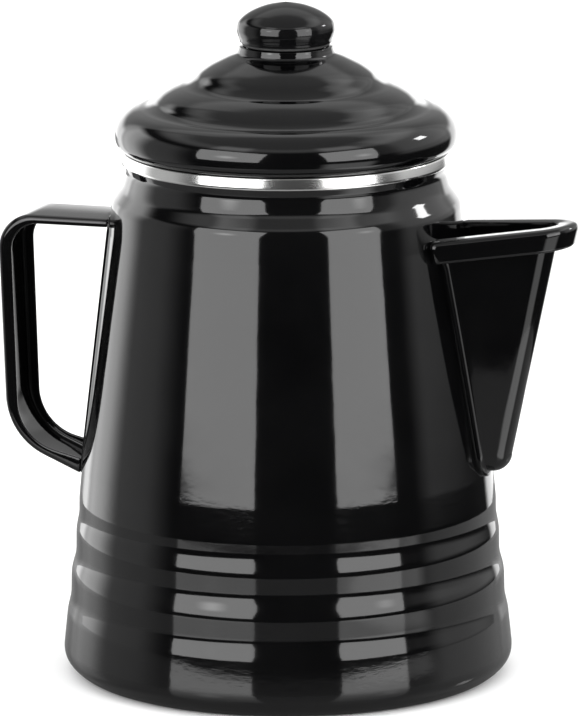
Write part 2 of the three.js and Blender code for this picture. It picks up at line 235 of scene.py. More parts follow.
def cut(made, points, faces):
    """Cuts the closed shapes of a mesh out of a piece."""
    mesh = bpy.data.meshes.new("cutter")
    mesh.from_pydata([tuple(c * MM for c in p) for p in points], [], faces)
    cutter = bpy.data.objects.new("cutter", mesh)
    bpy.context.scene.collection.objects.link(cutter)
    taken = made.modifiers.new("holes", "BOOLEAN")
    taken.operation = "DIFFERENCE"
    taken.solver = "EXACT"
    taken.object = cutter
    apply_modifiers(made)
    bpy.data.objects.remove(cutter)
    made.data.polygons.foreach_set("use_smooth", [True] * len(made.data.polygons))
    made.data.set_sharp_from_angle(angle=math.radians(40))


def drill(made, holes, depth=8.0, sides=20):
    """Cuts round holes, each (centre, direction, radius), through a piece."""
    points, faces = [], []
    for centre, direction, radius in holes:
        turn = Vector(direction).to_track_quat("Z", "X")
        first = len(points)
        for end in (-depth / 2, depth / 2):
            for i in range(sides):
                angle = 2 * math.pi * i / sides
                spoke = Vector((radius * math.cos(angle), radius * math.sin(angle), end))
                points.append(tuple(Vector(centre) + turn @ spoke))
        faces += [
            (first + i, first + (i + 1) % sides, first + sides + (i + 1) % sides, first + sides + i)
            for i in range(sides)]
        faces.append(tuple(first + i for i in reversed(range(sides))))
        faces.append(tuple(first + sides + i for i in range(sides)))
    cut(made, points, faces)


def block(centre, size, turn):
    """Points and faces of a box turned about the Z axis by an angle in degrees."""
    c, s = math.cos(math.radians(turn)), math.sin(math.radians(turn))
    points = []
    for dz in (-0.5, 0.5):
        for dx, dy in ((-0.5, -0.5), (0.5, -0.5), (0.5, 0.5), (-0.5, 0.5)):
            x, y = centre[0] + dx * size[0], centre[1] + dy * size[1]
            points.append((x * c - y * s, x * s + y * c, centre[2] + dz * size[2]))
    faces = [(3, 2, 1, 0), (4, 5, 6, 7), (0, 1, 5, 4), (1, 2, 6, 5), (2, 3, 7, 6), (3, 0, 4, 7)]
    return points, faces


# ---------------------------------------------------------------- materials
class Nodes:
    """Short hand for building a node tree."""

    def __init__(self, tree, place):
        self.tree = tree
        self.place = self.node("ShaderNodeTexCoord").outputs[place]

    def node(self, kind, **settings):
        made = self.tree.nodes.new(kind)
        for key, value in settings.items():
            if key in made.inputs:
                made.inputs[key].default_value = value
            else:
                setattr(made, key, value)
        return made

    def link(self, source, target):
        self.tree.links.new(source, target)

    def noise(self, scale, detail=2.0, roughness=0.5, place=None):
        made = self.node("ShaderNodeTexNoise", Scale=scale, Detail=detail, Roughness=roughness)
        self.link(place or self.place, made.inputs["Vector"])
        return made.outputs["Fac"]

    def ramp(self, source, stops):
        made = self.node("ShaderNodeValToRGB")
        bar = made.color_ramp
        while len(bar.elements) < len(stops):
            bar.elements.new(0.5)
        for element, (position, colour) in zip(bar.elements, stops):
            element.position = position
            element.color = (*colour, 1)
        self.link(source, made.inputs["Fac"])
        return made.outputs["Color"]

    def span(self, source, low, high):
        made = self.node("ShaderNodeMapRange")
        made.inputs["To Min"].default_value = low
        made.inputs["To Max"].default_value = high
        self.link(source, made.inputs["Value"])
        return made.outputs["Result"]

    def math(self, operation, a, b=None):
        made = self.node("ShaderNodeMath", operation=operation)
        for socket, value in zip(made.inputs, (a, b)):
            if value is None:
                continue
            if isinstance(value, (int, float)):
                socket.default_value = value
            else:
                self.link(value, socket)
        return made.outputs[0]

    def smooth(self, value, low, high):
        """0 below low and 1 above high, with a smooth change; swapped limits fall instead."""
        made = self.node("ShaderNodeMapRange", interpolation_type="SMOOTHSTEP")
        made.inputs["From Min"].default_value = low
        made.inputs["From Max"].default_value = high
        self.link(value, made.inputs["Value"])
        return made.outputs["Result"]

    def window(self, value, low, high, soft):
        """1 between two limits and 0 outside them, with soft edges."""
        rise = self.smooth(value, low - soft, low + soft)
        fall = self.smooth(value, high + soft, high - soft)
        return self.math("MULTIPLY", rise, fall)

    def axes(self):
        """The three coordinates of the place being shaded."""
        split = self.node("ShaderNodeSeparateXYZ")
        self.link(self.place, split.inputs[0])
        return split.outputs


class Surface(Nodes):
    """The nodes of one material."""

    def __init__(self, name):
        self.material = bpy.data.materials.new(name)
        self.material.use_nodes = True
        super().__init__(self.material.node_tree, "Object")
        self.shader = self.tree.nodes["Principled BSDF"]

    def bump(self, layers):
        """Stacks (height, distance in millimetres) layers into one normal."""
        normal = None
        for height, distance in layers:
            made = self.node("ShaderNodeBump", Strength=1.0, Distance=distance * MM)
            self.link(height, made.inputs["Height"])
            if normal:
                self.link(normal, made.inputs["Normal"])
            normal = made.outputs["Normal"]
        self.link(normal, self.shader.inputs["Normal"])

    def turned_place(self, along, around, across):
        """Coordinates stretched round the Z axis: radius, angle and height, each with a scale."""
        x, y, z = self.axes()
        squares = [self.math("MULTIPLY", axis, axis) for axis in (x, y)]
        radius = self.math("SQRT", self.math("ADD", *squares))
        angle = self.math("ARCTAN2", y, x)
        join = self.node("ShaderNodeCombineXYZ")
        self.link(self.math("MULTIPLY", radius, across), join.inputs[0])
        self.link(self.math("MULTIPLY", angle, around), join.inputs[1])
        self.link(self.math("MULTIPLY", z, along), join.inputs[2])
        return join.outputs[0]


def black_enamel():
    """Glass enamel: near black and deep, with a faint orange peel that bends its reflections."""
    n = Surface("black_enamel")
    tone = n.noise(38, 4, 0.6)
    n.link(n.ramp(tone, [(0.3, (0.0005, 0.0005, 0.0006)), (0.7, (0.0014, 0.0014, 0.0015))]),
           n.shader.inputs["Base Color"])
    cloud = n.noise(95, 3, 0.55)
    n.link(n.span(cloud, 0.045, 0.095), n.shader.inputs["Roughness"])
    n.shader.inputs["IOR"].default_value = 1.5
    n.shader.inputs["Coat Weight"].default_value = 0.25
    n.shader.inputs["Coat Roughness"].default_value = 0.03
    z = n.axes()[2]
    # The glaze crawled most where it pooled: above the steps and round the foot.
    pooled = n.math("MAXIMUM", n.window(z, 0.0625, 0.077, 0.003), n.window(z, 0.006, 0.021, 0.002))
    streaks = n.noise(1.0, 3, 0.6, place=n.turned_place(620, 18, 300))
    n.bump([
        (n.noise(62, 1, 0.4), 0.050),
        (n.noise(260, 2, 0.5), 0.0075),
        (n.math("MULTIPLY", streaks, pooled), 0.022),
        (n.noise(1500, 2, 0.5), 0.0004),
    ])
    return n.material


def polished_rim():
    """Polished stainless steel with the fine lines of buffing running round the mouth."""
    n = Surface("polished_rim")
    n.shader.inputs["Metallic"].default_value = 1.0
    lines = n.noise(1.0, 3, 0.6, place=n.turned_place(9000, 6, 9000))
    smear = n.noise(45, 3, 0.5)
    n.link(n.ramp(smear, [(0.25, (0.74, 0.74, 0.73)), (0.75, (0.86, 0.86, 0.85))]),
           n.shader.inputs["Base Color"])
    n.link(n.span(lines, 0.10, 0.22), n.shader.inputs["Roughness"])
    n.bump([(lines, 0.004), (n.noise(110, 1, 0.4), 0.01)])
    return n.material


def satin_steel():
    """Drawn stainless sheet, spun to a satin finish."""
    n = Surface("satin_steel")
    n.shader.inputs["Metallic"].default_value = 1.0
    lines = n.noise(1.0, 4, 0.6, place=n.turned_place(5200, 9, 5200))
    cloud = n.noise(60, 4, 0.6)
    n.link(n.ramp(cloud, [(0.2, (0.52, 0.52, 0.51)), (0.8, (0.67, 0.67, 0.66))]),
           n.shader.inputs["Base Color"])
    n.link(n.span(lines, 0.22, 0.42), n.shader.inputs["Roughness"])
    n.bump([(lines, 0.012), (n.noise(300, 2, 0.5), 0.004)])
    return n.material


def knob_black():
    """Gloss black heat-proof plastic, moulded, with a trace of moulding waviness."""
    n = Surface("knob_black")
    tone = n.noise(90, 3, 0.6)
    n.link(n.ramp(tone, [(0.3, (0.0012, 0.0012, 0.0013)), (0.7, (0.0030, 0.0030, 0.0032))]),
           n.shader.inputs["Base Color"])
    n.link(n.span(n.noise(160, 3, 0.5), 0.06, 0.11), n.shader.inputs["Roughness"])
    n.shader.inputs["IOR"].default_value = 1.5
    n.bump([(n.noise(120, 1, 0.4), 0.02), (n.noise(900, 2, 0.5), 0.0008)])
    return n.material


def seal_black():
    """Matt silicone."""
    n = Surface("seal_black")
    n.link(n.ramp(n.noise(400, 3, 0.6), [(0.3, (0.018, 0.018, 0.018)), (0.7, (0.03, 0.03, 0.03))]),
           n.shader.inputs["Base Color"])
    n.link(n.span(n.noise(700, 3, 0.6), 0.55, 0.75), n.shader.inputs["Roughness"])
    n.bump([(n.noise(2500, 3, 0.6), 0.01)])
    return n.material


PAINTED_TABLE_SHADE = 0.8  # painted shade: how much darker the table is painted in the reflections than to the camera
PAINTED_CORNER_LIGHT = 0.75  # how much of that painted shade its corner gets back as painted light
# Where the painted pool of light lies on the table.
PAINTED_LIGHT_CORNER_X = (0.20, 0.36, 0.02)  # metres: from, to and softness
PAINTED_LIGHT_CORNER_Y = (-0.21, -0.03, 0.02)


def pale_floor():
    """White for the camera; in the reflections it stands for a studio table, glossier and greyer
    with painted shade, and with a painted pool of light on one corner.
    """
    n = Surface("pale_floor")
    mirrored = n.node("ShaderNodeLightPath").outputs["Is Glossy Ray"]
    tone = n.span(n.noise(3, 3, 0.5), 0.93, 0.96)
    # Painted light: the corner of the table by the right panel is painted brighter in the
    # reflections, enough to show on the spout's nose.
    x, y, _ = n.axes()
    corner = n.math("MULTIPLY", n.window(x, *PAINTED_LIGHT_CORNER_X), n.window(y, *PAINTED_LIGHT_CORNER_Y))
    painted_shade = n.math("SUBTRACT", PAINTED_TABLE_SHADE, n.math("MULTIPLY", corner, PAINTED_CORNER_LIGHT))
    # Painted shade: the floor's colour is darkened for reflected rays only.
    tone = n.math("MULTIPLY", tone, n.math("SUBTRACT", 1.0, n.math("MULTIPLY", mirrored, painted_shade)))
    n.link(tone, n.shader.inputs["Base Color"])
    rough = n.math("MULTIPLY", n.span(n.noise(8, 3, 0.5), 0.5, 0.6), n.span(mirrored, 1.0, 0.2))
    n.link(rough, n.shader.inputs["Roughness"])
    n.bump([(n.noise(300, 2, 0.5), 0.02)])
    return n.material


ENAMEL = black_enamel()
POLISHED = polished_rim()
SATIN = satin_steel()
KNOB = knob_black()
SEAL = seal_black()


# ---------------------------------------------------------------- pot
# Corners of the wall from the foot to the lip: radius, height and the radius a corner turns with.
WALL = [
    (78.7, 21.7, 18),
    (77.42, 27.2, 18),
    (77.22, 36.5, 17),
    (75.5, 42.4, 17),
    (75.4, 51.3, 18),
    (74.3, 57.0, 18),
    (74.25, 62.4, 20),
    (73.15, 74.0, 60),
    (62.9, 158.5, 14),
    (61.8, 169.6, 7),
    (58.0, 175.0, 9),
    (56.4, 180.6, 4),
    (57.5, 183.6, 2),
]
FOOT = [(71, 0), (74.3, 0.6), (76.2, 1.7), (77.8, 3.1), (79.1, 4.8), (79.8, 6.6), (POT_RADIUS, 8.6),
        (79.85, 10.8)]
BASE_RECESS = 0.8  # the middle of the base is pressed in, so the pot stands on a ring


def pot_face():
    base = [(0, BASE_RECESS), (30, BASE_RECESS)]
    base += rounded([(58, BASE_RECESS, 0), (61.5, BASE_RECESS, 5), (65, 0, 5), (69, 0, 0)])
    wall = rounded([FOOT[-1] + (0,), *WALL, (57.5, LIP_TOP, 0)], 8)
    return base + spline(FOOT, 6)[:-1] + wall


POT_FACE = pot_face()


def wall_radius(height):
    """Outer radius of the pot's wall at a height; above the lip, that of the lip."""
    for (r0, z0), (r1, z1) in zip(POT_FACE, POT_FACE[1:]):
        if z0 <= height <= z1 and z1 > z0:
            return r0 + (r1 - r0) * (height - z0) / (z1 - z0)
    return POT_FACE[-1][0]


STRAINER_RADIUS, STRAINER_PITCH = 2.6, 8.4
STRAINER_LOW, STRAINER_ROWS = 97.0, 7


def strainer_holes():
    holes = []
    for row in range(STRAINER_ROWS):
        z = STRAINER_LOW + row * STRAINER_PITCH
        across = int(2 * (trough_half_width(wall_radius(z), z, SHEET) - STRAINER_RADIUS - 1)
                     / STRAINER_PITCH)
        for i in range(across + 1):
            y = (i - across / 2) * STRAINER_PITCH
            holes.append(((wall_radius(z) - 1, y, z), (1, 0, 0), STRAINER_RADIUS))
    return holes


def make_pot():
    pot = turned("pot_shell", sheet(POT_FACE, SHEET, start_cap=False), ENAMEL, "pot",
                 ["pot_wall", "pot_bottom"])
    drill(pot, strainer_holes(), depth=16)


RIM_SHEET = 0.6
RIM_WIDTH = 3.4  # from the band's outside to its inside, over the pot's lip
RIM_LEAN = 0.5  # the band's face leans in by this much towards its top


def make_rim_band():
    inside = RIM_RADIUS - RIM_WIDTH
    face = rounded([
        (RIM_RADIUS - 0.1, RIM_FOOT, 0), (RIM_RADIUS, RIM_FOOT + 0.7, 0.8),
        (RIM_RADIUS - RIM_LEAN, RIM_TOP, 1.0), (inside, RIM_TOP, 1.3), (inside, RIM_FOOT, 0)], 8)
    turned("rim_band_steel", sheet(face, RIM_SHEET), POLISHED, "pot", ["rim_band"])


# ---------------------------------------------------------------- spout
FLANK = math.radians(16.4)  # between each flank and the middle plane, seen from above
TROUGH_FOOT = 83.0
TROUGH_FOOT_NOSE = (75.8, 6.8)  # centre and radius of the rounded nose, at the trough's foot
TROUGH_TOP = 163.0
TROUGH_TOP_NOSE = (91.6, 8.0)
RIM_OVERHANG = 7.1
RIM_DROP = 7.6
RIM_ROOT_TOP, RIM_TIP_TOP = 162.2, 167.0
FLANGE = 2.6
ROOT_GAP = 0.45  # between the wall and the ends of the sheet where it has no flange
SPOUT_ROOT = wall_radius(150)  # the slopes along the spout start here
RIM_SLOPE = (RIM_TIP_TOP - RIM_ROOT_TOP) / (SPOUT_TIP - SPOUT_ROOT)
WALL_SPAN = 12  # columns of the grid on the flange and its bend
FLANK_SPAN = 10
NOSE_SPAN = 12


def trough_nose(height):
    share = (height - TROUGH_FOOT) / (TROUGH_TOP - TROUGH_FOOT)
    return [a + (b - a) * share for a, b in zip(TROUGH_FOOT_NOSE, TROUGH_TOP_NOSE)]


def trough_half_width(x, height, inset=0.0):
    centre, radius = trough_nose(height)
    return (radius - inset) / math.cos(FLANK) + (centre - x) * math.tan(FLANK)


def trough_row(height, tilt, slope, grown, flange, root_gap):
    """One line of the trough's sheet, from its free edge on the wall to the middle of the nose.

    tilt turns the line down about the foot of the trough (90 is the keel), slope raises it towards
    the tip, grown moves it outwards, and flange is how wide the flange on the wall is.
    """
    down = math.radians(tilt)

    def lifted(x, y):
        z = height + slope * (x - SPOUT_ROOT)
        if tilt:
            centre, radius = trough_nose(height)
            radius += grown
            depth = math.sqrt(max(radius ** 2 - max(x - centre, 0) ** 2, 0))
            return (x, -y * math.cos(down), z - depth * math.sin(down))
        return (x, -y, z)

    def flank(x):
        y = trough_half_width(x, height + slope * (x - SPOUT_ROOT), -grown)
        return lifted(x, y)

    def off_wall(x):
        point = flank(x)
        return math.hypot(point[0], point[1]) - wall_radius(point[2]) - root_gap

    low, high = 40.0, 90.0  # the root lies between these distances from the axis
    for _ in range(40):
        middle = (low + high) / 2
        low, high = (low, middle) if off_wall(middle) > 0 else (middle, high)
    root = high
    corner = Vector(flank(root))
    centre, radius = trough_nose(height + slope * (trough_nose(height)[0] - SPOUT_ROOT))
    radius += grown
    nose_start = centre + radius * math.sin(FLANK)
    along = (Vector(flank(root + 1)) - corner).normalized()
    if flange > 0:
        y, z = corner[1] - flange * math.cos(down), corner[2] - flange * math.sin(down)
        out = wall_radius(z) + root_gap
        edge = Vector((math.sqrt(out ** 2 - y ** 2), y, z))
        bend = min(2.2, flange * 0.8)
        start = corner + (edge - corner).normalized() * bend
        finish = corner + along * bend
        line = [edge.lerp(start, i / 4) for i in range(4)]
        line += eased(start, corner, finish, WALL_SPAN - 4)
        flat_from = root + bend * abs(along[0])
    else:
        reach = 3.0
        line = [Vector(flank(root + reach * i / WALL_SPAN)) for i in range(WALL_SPAN + 1)]
        flat_from = root + reach
    for i in range(1, FLANK_SPAN + 1):
        line.append(Vector(flank(flat_from + (nose_start - flat_from) * i / FLANK_SPAN)))
    for i in range(1, NOSE_SPAN + 1):
        angle = (math.pi / 2 - FLANK) * (1 - i / NOSE_SPAN)
        x, y = centre + radius * math.cos(angle), radius * math.sin(angle)
        line.append(Vector(lifted(x, y)))
    return line


def rim_row(grown, drop):
    """One line of the pouring rim: the trough's plan grown outwards, closed round by the wall."""
    base = RIM_ROOT_TOP - drop
    line = trough_row(base, 0, RIM_SLOPE, grown - SHEET / 2, 0, ROOT_GAP)
    share = max(grown, 0) / RIM_OVERHANG
    if share <= 0:
        return line
    # The end by the wall turns in with a round corner, and closes along the wall.
    turn = 3.6 * share
    inner = trough_row(base, 0, RIM_SLOPE, -SHEET / 2, 0, ROOT_GAP)[0]
    corner = line[0]
    along = (line[1] - corner).normalized()
    across = inner - corner
    width = across.length
    across.normalize()
    turn = min(turn, width * 0.8)
    start, finish = corner + across * turn, corner + along * turn
    ends = [inner.lerp(start, i / 3) for i in range(3)]
    ends += eased(start, corner, finish, WALL_SPAN - 3)
    straight_end = line[WALL_SPAN + FLANK_SPAN]
    flank = [finish.lerp(straight_end, i / FLANK_SPAN) for i in range(1, FLANK_SPAN + 1)]
    return ends + flank + line[WALL_SPAN + FLANK_SPAN + 1:]


def make_spout():
    half = SHEET / 2
    gap = half + 0.03
    rows = [trough_row(TROUGH_FOOT, tilt, 0, -half, FLANGE, gap) for tilt in range(90, 0, -9)]
    levels = 18
    flange_top = RIM_ROOT_TOP - RIM_DROP + 0.5
    for i in range(levels + 1):
        share = i / levels
        height = TROUGH_FOOT + (flange_top - TROUGH_FOOT) * share
        rows.append(trough_row(height, 0, RIM_SLOPE * share ** 2, -half, FLANGE, gap))
    for i in range(1, 4):
        height = flange_top + (RIM_ROOT_TOP - 2.2 - flange_top) * i / 3
        rows.append(trough_row(height, 0, RIM_SLOPE, -half, 0, ROOT_GAP))
    # Over the top, outwards and down: (outwards, drop) of the middle of the sheet.
    hook = rounded([(0, 2.2, 0), (0, half, 1.5), (RIM_OVERHANG, half + 0.1, 2.3),
                    (RIM_OVERHANG, RIM_DROP, 0.9), (RIM_OVERHANG - 1.4, RIM_DROP - 0.2, 0)], 6)
    for grown, drop in hook[1:]:
        rows.append(rim_row(grown - half if grown > half else grown * 0.5, drop))
    columns = len(rows[0])
    near = [tuple(p) for row in rows for p in row]
    far = [(x, -y, z) for x, y, z in near]
    faces = grid_faces(len(rows), columns)
    faces += [tuple(i + len(near) for i in reversed(face)) for face in faces]
    spout = piece("spout_sheet", near + far, faces, ENAMEL, "pot", ["spout"])
    thicken(spout, SHEET, 0.42)


# ---------------------------------------------------------------- handle
class Side:
    """One side outline of the D: a line from the pot, a bend, the grip, a bend and a line back.

    Reaches are measured from the pot's axis, and sweep is how far the lower bend turns in degrees.
    """

    def __init__(self, top, reach, upper_radius, lower_reach, lower_radius, lower_centre, sweep):
        self.top, self.reach, self.upper_radius = top, reach, upper_radius
        self.lower_reach, self.lower_radius = lower_reach, lower_radius
        self.lower_centre, self.sweep = lower_centre, sweep

    def points(self, arm, bend, grip):
        upper = (self.upper_radius - self.reach, self.top - self.upper_radius)
        lower = (self.lower_radius - self.lower_reach, self.lower_centre)
        start = (-wall_radius(self.top), self.top)
        line = [(start[0] + (upper[0] - start[0]) * i / arm, self.top) for i in range(arm)]
        line += arc(upper, self.upper_radius, 90, 180, bend)
        first = line[-1]
        turn = arc(lower, self.lower_radius, 180, 180 + self.sweep, bend)
        line += [(first[0] + (turn[0][0] - first[0]) * i / grip,
                  first[1] + (turn[0][1] - first[1]) * i / grip) for i in range(1, grip)]
        line += turn
        heading = math.radians(self.sweep)
        direction = (math.sin(heading), -math.cos(heading))
        last, x = turn[-1], turn[-1][0]
        reach = 0.0
        while -(x + direction[0] * reach) > wall_radius(last[1] + direction[1] * reach):
            reach += 0.05
        line += [(last[0] + direction[0] * reach * i / arm,
                  last[1] + direction[1] * reach * i / arm) for i in range(1, arm + 1)]
        return line


OUTER_SIDE = Side(top=STRAP_TOP, reach=-STRAP_BACK, upper_radius=12.5,
                  lower_reach=101.8, lower_radius=24, lower_centre=96.4, sweep=66)
FLANGE_SIDE = Side(top=158.8, reach=98.6, upper_radius=10,
                   lower_reach=97, lower_radius=18, lower_centre=94.2, sweep=76)
STRAP_BEND = 2.0  # outer radius where the flanges turn in


def make_handle():
    half = SHEET / 2
    arm, bend, grip = 10, 14, 8
    outer = OUTER_SIDE.points(arm, bend, grip)
    inner = FLANGE_SIDE.points(arm, bend, grip)
    rows = []
    for (ox, oz), (ix, iz) in zip(outer, inner):
        face, edge = Vector((ox, 0, oz)), Vector((ix, 0, iz))
        inwards = edge - face
        depth = inwards.length
        inwards.normalize()
        section = rounded([(-STRAP_HALF + half, depth, 0), (-STRAP_HALF + half, half, STRAP_BEND),
                           (0, half, 0), (STRAP_HALF - half, half, STRAP_BEND),
                           (STRAP_HALF - half, depth, 0)], 6)
        rows.append([face + inwards * d + Vector((0, y, 0)) for y, d in section])
    # Both ends are drawn out straight until they meet the back strip.
    clear = SHEET + 0.05
    for end in (rows[:arm + 1], rows[:-arm - 2:-1]):
        for column, target in enumerate(end[arm]):
            first = end[0][column]
            out = wall_radius(first[2]) + clear
            x = -math.sqrt(out ** 2 - first[1] ** 2)
            slope = (target[2] - first[2]) / (target[0] - first[0])
            root = Vector((x, first[1], first[2] + slope * (x - first[0])))
            for step in range(arm):
                end[step][column] = root.lerp(target, step / arm)
    columns = len(rows[0])
    points = [tuple(p) for row in rows for p in row]
    strap = piece("handle_strap_sheet", points, grid_faces(len(rows), columns), ENAMEL, "pot",
                  ["handle_strap"])
    thicken(strap, SHEET, 0.4)


STRIP_CORNER = 2.2


def make_back_strip():
    rows, columns = 40, 17
    points = []
    top = STRAP_TOP + 0.7  # the plate ends just above the strap
    for r in range(rows):
        z = STRIP_FOOT + (top - STRIP_FOOT) * r / (rows - 1)
        for c in range(columns):
            y = STRAP_HALF * (2 * c / (columns - 1) - 1)
            from_end = min(z - STRIP_FOOT, top - z)
            if from_end < STRIP_CORNER:
                across = math.sqrt(max(STRIP_CORNER ** 2 - (STRIP_CORNER - from_end) ** 2, 0))
                y *= (STRAP_HALF - STRIP_CORNER + across) / STRAP_HALF
            out = wall_radius(z) + 0.02 + SHEET / 2
            points.append((-math.sqrt(out ** 2 - y ** 2), y, z))
    strip = piece("handle_back_plate", points, grid_faces(rows, columns), ENAMEL, "pot",
                  ["handle_back_strip"])
    thicken(strip, SHEET, 0.4)


# ---------------------------------------------------------------- lid and knob
LID_FACE = [
    (16.5, LID_NECK_TOP), (16.8, 223.8), (17.6, 222.3), (20.8, 220.9), (24, 219.4), (27.1, 217.8),
    (30.3, 215.6), (32.5, 213.2), (34.9, 211.5), (37.7, 210.6), (40.5, 209.5), (43.4, 207.9),
    (45.5, 206.2), (47.1, 204.6), (49.4, 203.4), (52.2, 202.9), (55, 202), (57.5, 200.3),
    (59.4, 197.8), (60.4, 194.6), (60.1, 191), (58, LID_FOOT),
]
LID_HOLE = 13.9


def make_lid():
    face = [(LID_HOLE + 0.6, LID_NECK_TOP)] + spline(LID_FACE, 8)
    turned("lid_shell_enamel", sheet(face[::-1], SHEET), ENAMEL, "lid", ["lid_shell"])


def make_skirt():
    face = rounded([(SKIRT_RADIUS - 1.1, SKIRT_FOOT, 0), (SKIRT_RADIUS, SKIRT_FOOT + 1.8, 2),
                    (SKIRT_RADIUS, SKIRT_TOP, 0)], 6)
    turned("lid_skirt_steel", sheet(face, SKIRT_SHEET), SATIN, "lid", ["lid_skirt"])


LUG_HALF, LUG_ROOT, LUG_REACH = 3.5, 12.9, 15.3
LUG_FOOT, LUG_TOP = 219.6, 222.0


def make_knob():
    foot = SEAL_TOP + 0.3
    head = spline([
        (16.3, foot), (16.4, 227.4), (17.05, 229.3), (17.3, 231.2), (16.5, 234.1), (12.5, 237.2),
        (6.6, KNOB_TOP - 1.1), (0, KNOB_TOP)], 8)
    hollow = spline([(0, KNOB_TOP - 2), (6, 237.1), (11, 234.9), (14.0, 231.8), (14.2, 229.2),
                     (11.9, 226)], 5)
    section = [(13.5, SPIGOT_FOOT + 0.4), (13.5, foot)] + head + hollow
    section += [(11.9, SPIGOT_FOOT), (13.1, SPIGOT_FOOT)]
    turned("knob_moulding", section, KNOB, "knob", ["knob"], AROUND)
    make_knob_lugs()


def make_knob_lugs():
    """Two lugs on the spigot hook under the lid's neck; a quarter turn brings them to its slots."""
    steps = 12
    points, faces = [], []
    for side in (-1, 1):
        first = len(points)
        for i in range(steps + 1):
            share = 2 * i / steps - 1
            x = LUG_HALF * share
            trim = 0.5 * max(abs(share) - 0.85, 0) / 0.15  # eases the lug's corners
            end = LUG_REACH - trim
            for radius, z in ((LUG_ROOT, LUG_FOOT), (end, LUG_FOOT + 0.3),
                              (end, LUG_TOP - 0.3), (LUG_ROOT, LUG_TOP)):
                points.append((x, side * math.sqrt(radius ** 2 - x ** 2), z))
        for i in range(steps):
            a, b = first + 4 * i, first + 4 * (i + 1)
            faces += [(a + k, b + k, b + (k + 1) % 4, a + (k + 1) % 4) for k in range(4)]
        last = first + 4 * steps
        faces += [tuple(end + k for k in range(4)) for end in (first, last)]
    lugs = piece("knob_lugs", points, faces, KNOB, "knob", [])
    lugs.data.set_sharp_from_angle(angle=math.radians(50))


SEAL_INSIDE, SEAL_OUTSIDE = 14.1, 15.5


def make_seal():
    middle, radius = (SEAL_FOOT + SEAL_TOP) / 2, (SEAL_TOP - SEAL_FOOT) / 2
    section = arc((SEAL_INSIDE + radius, middle), radius, 90, 270, 8)
    section += arc((SEAL_OUTSIDE - radius, middle), radius, -90, 90, 8)
    turned("knob_seal_ring", section, SEAL, "knob", ["knob_seal"], AROUND_SMALL)


# ---------------------------------------------------------------- pump, basket and spreader
HOLE_RINGS = [(15, 6), (24.5, 9), (34, 12)]
HOLE_RADIUS = 1.7


def ring_holes(height):
    return [
        ((radius * math.cos(a), radius * math.sin(a), height), (0, 0, 1), HOLE_RADIUS)
        for radius, count in HOLE_RINGS
        for a in (2 * math.pi * (i + 0.5) / count for i in range(count))]


def make_pump():
    sleeve = TUBE_RADIUS + 0.3
    face = rounded([
        (BELL_RADIUS - 0.6, BELL_FOOT, 0), (BELL_RADIUS, 3.2, 1.5), (BELL_RADIUS - 0.8, 7, 3),
        (23, 13.5, 14), (sleeve + STAINLESS + 1.4, 18.2, 8), (sleeve + STAINLESS, 21, 4),
        (sleeve + STAINLESS, BELL_TOP, 0)], 8)
    bell = turned("pump_bell", sheet(face, STAINLESS), SATIN, "pump", ["pump_foot"],
                  AROUND_STEEL)
    for turn in (45, 135, 225, 315):  # notches that let the water in under the bell
        cut(bell, *block((BELL_RADIUS, 0, BELL_FOOT + 0.5), (12, 9, 5), turn))
    bore = TUBE_RADIUS - 1
    tube = rounded([
        (bore, TUBE_FOOT, 0), (TUBE_RADIUS, TUBE_FOOT, 0.4), (TUBE_RADIUS, TUBE_TOP, 0.4),
        (bore, TUBE_TOP, 0.4), (bore, TUBE_FOOT + 0.01, 0)], 4)
    turned("pump_tube", tube, SATIN, "pump", ["riser_tube"], AROUND_SMALL)
    collar = rounded([
        (TUBE_RADIUS + 0.02, STOP_FOOT, 0), (STOP_RADIUS, STOP_FOOT, 0.8),
        (STOP_RADIUS, STOP_TOP, 0.8), (TUBE_RADIUS + 0.02, STOP_TOP, 0)], 6)
    turned("pump_stop", collar, SATIN, "pump", ["basket_stop"], AROUND_SMALL)


BASKET_WALL = 42.0  # outer radius under the basket's turned-out lip


def make_basket():
    face = rounded([
        (SLEEVE_RADIUS + 0.3, BASKET_FOOT, 0), (BASKET_WALL - 0.8, BASKET_FOOT, 4),
        (BASKET_WALL, BASKET_TOP - 1.6, 2), (BASKET_RADIUS, BASKET_TOP - STAINLESS - 0.2, 0)], 8)
    cup = turned("basket_cup_steel", sheet(face, STAINLESS), SATIN, "basket", ["basket_cup"],
                 AROUND_STEEL)
    drill(cup, ring_holes(BASKET_FOOT + STAINLESS / 2))
    bore = SLEEVE_RADIUS - 0.9
    tube = rounded([
        (bore, BASKET_FOOT, 0), (SLEEVE_RADIUS, BASKET_FOOT, 0.3), (SLEEVE_RADIUS, SLEEVE_TOP, 0.3),
        (bore, SLEEVE_TOP, 0.3), (bore, BASKET_FOOT + 0.01, 0)], 4)
    turned("basket_sleeve_steel", tube, SATIN, "basket", ["basket_sleeve"],
           AROUND_SMALL)


def make_spreader():
    sleeve = TUBE_RADIUS + 0.35
    face = rounded([
        (sleeve + STAINLESS, SPREADER_TOP, 0), (sleeve + STAINLESS, SPREADER_FOOT + 1.2, 2),
        (14, SPREADER_FOOT + STAINLESS, 3), (SPREADER_RADIUS - 0.8, SPREADER_FOOT + STAINLESS, 2),
        (SPREADER_RADIUS - 0.7, SPREADER_FOOT + 3.4, 0)], 8)
    plate = turned("spreader_disc", sheet(face[::-1], STAINLESS)[::-1], SATIN, "spreader",
                   ["spreader_plate"], AROUND_STEEL)
    drill(plate, ring_holes(SPREADER_FOOT + STAINLESS / 2))


# ---------------------------------------------------------------- studio
CAMERA_AZIMUTH = 16.5  # degrees towards the spout from straight in front
CAMERA_DISTANCE = 2600.0
CAMERA_HEIGHT = 668.2
CAMERA_PITCH = 12.0655
CAMERA_ROLL = -0.207
CAMERA_LENS = 376.4
CAMERA_SHIFT = 0.0061


